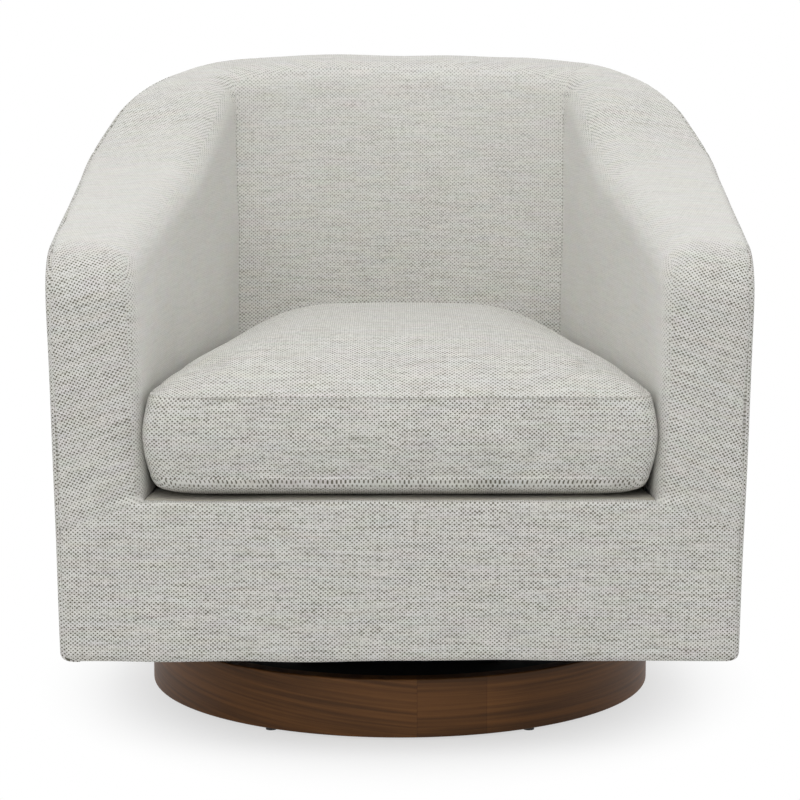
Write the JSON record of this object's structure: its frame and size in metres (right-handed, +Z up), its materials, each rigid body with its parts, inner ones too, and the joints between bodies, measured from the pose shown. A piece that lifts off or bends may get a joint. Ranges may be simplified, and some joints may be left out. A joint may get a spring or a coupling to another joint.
{
  "type": "swivel rocker chair",
  "caption": "Upholstered barrel armchair with sloping arms and a loose seat cushion, which swivels and rocks on a round wooden ring base.",
  "frame": {"origin": "on the floor, on the swivel axis, at the centre of the footprint", "axes": "+Z up, the chair faces -Y, +X towards the right side of the picture"},
  "size_m": [0.7928, 0.7864, 0.7815],
  "materials": {
    "walnut": "satin dark veneer",
    "plywood": "raw",
    "softwood": "raw",
    "black_board": "painted black",
    "fibreboard": "raw",
    "fabric": "woven light grey",
    "deck_cloth": "plain cloth",
    "dust_cloth": "black non-woven",
    "foam": "polyurethane foam",
    "black_steel": "black powder coat",
    "zinc_steel": "zinc plated",
    "spring_steel": "drawn wire",
    "nylon": "natural",
    "black_nylon": "moulded",
    "rubber": "matt",
    "zip": "nylon coil"
  },
  "bodies": {
    "base": {"base_ring": "walnut", "floor_glides": "black_nylon", "base_board": "black_board", "base_cleats": "softwood", "cleat_screws": "zinc_steel", "swivel_base_plate": "black_steel", "base_bolts": "zinc_steel", "base_nuts": "zinc_steel", "lower_race": "zinc_steel", "pivot_pin": "zinc_steel", "pivot_nut": "zinc_steel"},
    "cage": {"ball_cage": "nylon", "bearing_balls": "zinc_steel"},
    "swivel": {"upper_race": "zinc_steel", "swivel_bracket": "black_steel", "pivot_washer": "nylon", "axle_bolts": "zinc_steel", "axle_nuts": "zinc_steel", "axle_bushings": "nylon", "bump_stops": "rubber", "front_rocker_springs": "spring_steel", "rear_rocker_springs": "spring_steel"},
    "seat": {"rocker_cradle": "black_steel", "cradle_bolts": "zinc_steel", "bottom_board": "plywood", "mounting_rails": "softwood", "front_rail": "softwood", "rear_rail": "softwood", "side_rails": "softwood", "front_posts": "softwood", "side_posts": "softwood", "arm_rails": "softwood", "corner_blocks": "softwood", "back_posts": "softwood", "back_top_rail": "plywood", "seat_springs": "spring_steel", "spring_clips": "zinc_steel", "outer_arm_board_left": "fibreboard", "outer_arm_board_right": "fibreboard", "outer_back_board": "fibreboard", "front_foam": "foam", "arm_foam_left": "foam", "arm_foam_right": "foam", "back_foam": "foam", "deck_pad": "foam", "inner_arm_cover_left": "fabric", "inner_arm_cover_right": "fabric", "inner_back_cover": "fabric", "outer_arm_cover_left": "fabric", "outer_arm_cover_right": "fabric", "outer_back_cover": "fabric", "front_rail_cover": "fabric", "deck_cover": "deck_cloth", "dust_cover": "dust_cloth"},
    "cushion": {"seat_cushion_core": "foam", "seat_cushion_cover": "fabric", "cushion_zipper": "zip"}
  },
  "joints": [
    {"name": "swivel_spin", "type": "hinge", "parent": "base", "child": "swivel", "pos_m": [0, 0, 0.055], "axis": [0, 0, 1], "continuous": true},
    {"name": "cage_spin", "type": "hinge", "parent": "base", "child": "cage", "pos_m": [0, 0, 0.055], "axis": [0, 0, 1], "continuous": true},
    {"name": "rock", "type": "hinge", "parent": "swivel", "child": "seat", "pos_m": [0, 0, 0.088], "axis": [1, 0, 0], "range_deg": [-6, 6], "stiffness_Nm_per_rad": 700, "deforming": ["front_rocker_springs", "rear_rocker_springs"]},
    {"name": "cushion_lift", "type": "slide", "parent": "seat", "child": "cushion", "axis": [0, 0, 1], "range_m": [0, 0.5]}
  ],
  "couplings": [
    {"joint": "cage_spin", "follows": "swivel_spin", "ratio": 0.5}
  ]
}
